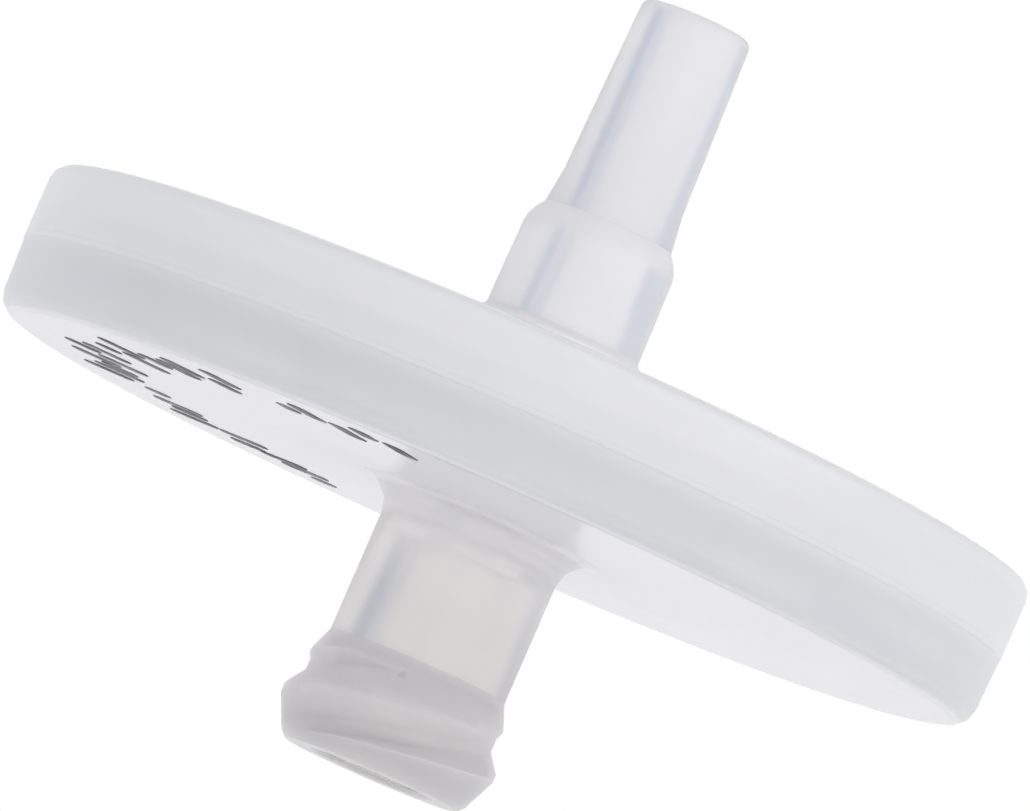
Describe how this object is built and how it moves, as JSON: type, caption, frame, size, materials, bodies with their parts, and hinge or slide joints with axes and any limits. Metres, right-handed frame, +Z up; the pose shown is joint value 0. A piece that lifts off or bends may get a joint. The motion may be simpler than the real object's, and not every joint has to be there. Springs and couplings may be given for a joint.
{
  "type": "syringe filter",
  "caption": "Disposable syringe filter: a clear white disc with a female luer lock inlet hub on one side and a tapered male luer outlet on the other.",
  "frame": {"origin": "on the axis of the disc, in the plane of the inlet mouth, which the filter stands on", "axes": "+Z runs up the filter's axis from the inlet mouth to the outlet tip; +X and +Y lie in the disc's plane, and the gate dimple on the lock collar faces -Y"},
  "size_m": [0.0364, 0.0364, 0.0283],
  "materials": {
    "natural_polypropylene": "moulded, cloudy and see-through, with a satin gloss",
    "white_membrane": "matt, finely porous"
  },
  "bodies": {
    "root": {"inlet_housing": "natural_polypropylene", "outlet_housing": "natural_polypropylene", "membrane": "white_membrane"}
  },
  "joints": []
}
